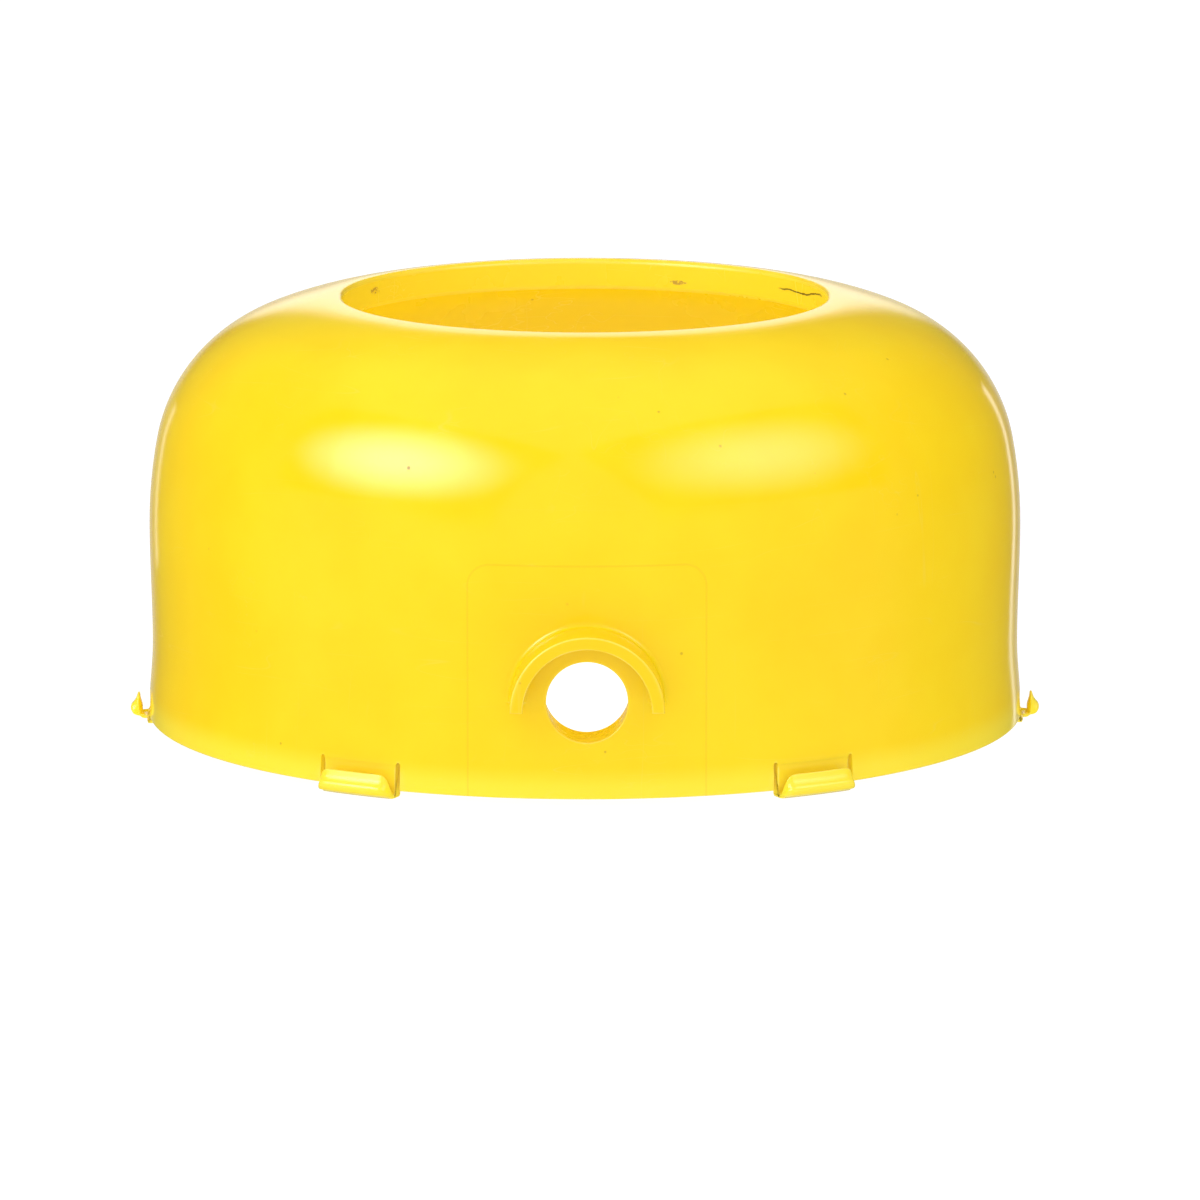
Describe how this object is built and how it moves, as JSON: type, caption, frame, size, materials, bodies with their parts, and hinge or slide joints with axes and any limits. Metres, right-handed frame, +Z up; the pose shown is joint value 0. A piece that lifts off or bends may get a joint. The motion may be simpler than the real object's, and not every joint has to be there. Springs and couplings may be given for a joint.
{
  "type": "eyewash station dome cover",
  "caption": "Moulded yellow dome cover of an eyewash station, with a round top opening, a hooded side hole and a rim that snaps onto a base by sprung fingers.",
  "frame": {"origin": "centre of the footprint's bounding box, at the level of the snap fingers' undersides", "axes": "+Z up along the dome's axis, which stands 7.35 mm behind the origin; -Y towards the side hole and its hood; +X to the right as seen from that side"},
  "size_m": [0.2608, 0.2646, 0.1221],
  "materials": {
    "yellow_plastic": "glossy, slightly translucent moulded polyolefin"
  },
  "bodies": {
    "cover": {"cover_shell": "yellow_plastic"},
    "right_finger": {"snap_finger_right": "yellow_plastic"},
    "rear_right_finger": {"snap_finger_rear_right": "yellow_plastic"},
    "rear_left_finger": {"snap_finger_rear_left": "yellow_plastic"},
    "left_finger": {"snap_finger_left": "yellow_plastic"},
    "front_left_finger": {"snap_finger_front_left": "yellow_plastic"},
    "front_right_finger": {"snap_finger_front_right": "yellow_plastic"}
  },
  "joints": [
    {"name": "right_finger_flex", "type": "hinge", "parent": "cover", "child": "right_finger", "pos_m": [0.1232, 0.00735, 0.0092], "axis": [0, 1, 0], "range_deg": [0, 6], "stiffness_Nm_per_rad": 5},
    {"name": "rear_right_finger_flex", "type": "hinge", "parent": "cover", "child": "rear_right_finger", "pos_m": [0.0616, 0.11404, 0.0092], "axis": [-0.866, 0.5, 0], "range_deg": [0, 6], "stiffness_Nm_per_rad": 5},
    {"name": "rear_left_finger_flex", "type": "hinge", "parent": "cover", "child": "rear_left_finger", "pos_m": [-0.0616, 0.11404, 0.0092], "axis": [-0.866, -0.5, 0], "range_deg": [0, 6], "stiffness_Nm_per_rad": 5},
    {"name": "left_finger_flex", "type": "hinge", "parent": "cover", "child": "left_finger", "pos_m": [-0.1232, 0.00735, 0.0092], "axis": [0, -1, 0], "range_deg": [0, 6], "stiffness_Nm_per_rad": 5},
    {"name": "front_left_finger_flex", "type": "hinge", "parent": "cover", "child": "front_left_finger", "pos_m": [-0.0616, -0.09934, 0.0092], "axis": [0.866, -0.5, 0], "range_deg": [0, 6], "stiffness_Nm_per_rad": 5},
    {"name": "front_right_finger_flex", "type": "hinge", "parent": "cover", "child": "front_right_finger", "pos_m": [0.0616, -0.09934, 0.0092], "axis": [0.866, 0.5, 0], "range_deg": [0, 6], "stiffness_Nm_per_rad": 5}
  ]
}
